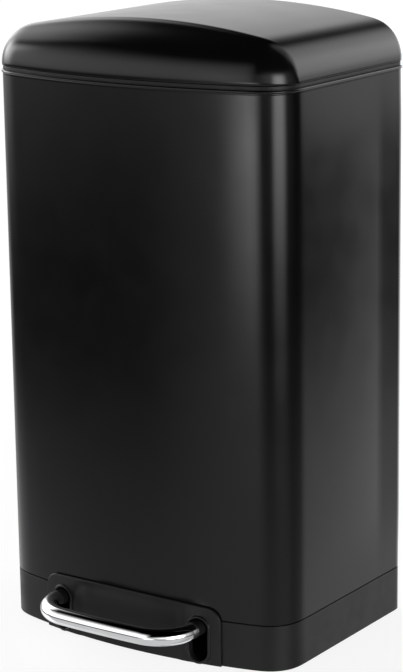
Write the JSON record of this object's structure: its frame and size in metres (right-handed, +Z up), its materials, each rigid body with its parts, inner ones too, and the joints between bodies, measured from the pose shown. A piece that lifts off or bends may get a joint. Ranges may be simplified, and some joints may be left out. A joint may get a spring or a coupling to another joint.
{
  "type": "pedal bin",
  "caption": "Free-standing pedal bin: D-shaped steel body, domed hinged lid lifted by a foot bar through a push rod, removable inner bucket.",
  "frame": {"origin": "middle of the footprint of the whole bin, on the floor under the feet", "axes": "+Z up; -Y towards the front, where the foot bar is; +X to the right seen from the front"},
  "size_m": [0.3404, 0.3116, 0.6158],
  "materials": {
    "black_paint": "satin black powder coat on sheet steel",
    "black_plastic": "matt black moulded plastic with a fine grain",
    "grey_plastic": "dark grey moulded plastic",
    "chrome": "polished chrome plate on steel tube",
    "zinc_steel": "zinc-plated steel",
    "rubber": "black rubber"
  },
  "bodies": {
    "body": {"body_shell": "black_paint", "top_collar": "black_plastic", "base": "black_plastic", "pedal_surround": "black_plastic", "foot_front_left": "rubber", "foot_front_right": "rubber", "foot_rear_left": "rubber", "foot_rear_right": "rubber", "pedal_axle": "zinc_steel", "axle_clip_left": "zinc_steel", "axle_clip_right": "zinc_steel", "axle_clamp_left": "grey_plastic", "axle_clamp_right": "grey_plastic", "clamp_screw_left_front": "zinc_steel", "clamp_screw_left_rear": "zinc_steel", "clamp_screw_right_front": "zinc_steel", "clamp_screw_right_rear": "zinc_steel", "rod_guide_lower": "grey_plastic", "rod_guide_upper": "grey_plastic", "lever_buffer_left": "rubber", "lever_buffer_right": "rubber", "hinge_housing": "black_plastic", "hinge_pin": "zinc_steel", "housing_screw_left": "zinc_steel", "housing_screw_right": "zinc_steel", "surround_screw_1": "zinc_steel", "surround_screw_2": "zinc_steel", "surround_screw_3": "zinc_steel"},
    "pedal": {"pedal_bar": "chrome", "pedal_sleeve_left": "black_plastic", "pedal_sleeve_right": "black_plastic", "pedal_lever": "zinc_steel"},
    "push_rod": {"push_rod": "zinc_steel", "rod_eye": "grey_plastic"},
    "lid": {"lid_skin": "black_paint", "lid_liner": "grey_plastic", "lid_bracket": "grey_plastic", "crank_pin": "zinc_steel", "crank_pin_clip": "zinc_steel", "bracket_screw_1": "zinc_steel", "bracket_screw_2": "zinc_steel", "bracket_screw_3": "zinc_steel", "bracket_screw_4": "zinc_steel"},
    "bucket": {"inner_bucket": "grey_plastic"}
  },
  "joints": [
    {"name": "lid_hinge", "type": "hinge", "parent": "body", "child": "lid", "pos_m": [0, 0.147, 0.556], "axis": [-1, 0, 0], "range_deg": [0, 78]},
    {"name": "pedal_hinge", "type": "hinge", "parent": "body", "child": "pedal", "pos_m": [0, 0.02699, 0.0237], "axis": [1, 0, 0], "range_deg": [0, 8.82]},
    {"name": "rod_slide", "type": "slide", "parent": "body", "child": "push_rod", "axis": [0, 0, 1], "range_m": [0, 0.01665]},
    {"name": "bucket_lift", "type": "slide", "parent": "body", "child": "bucket", "axis": [0, 0, 1], "range_m": [0, 0.01]}
  ],
  "couplings": [
    {"joint": "pedal_hinge", "follows": "lid_hinge", "ratio": 0.11282},
    {"joint": "rod_slide", "follows": "lid_hinge", "m_per_rad": 0.012204}
  ]
}
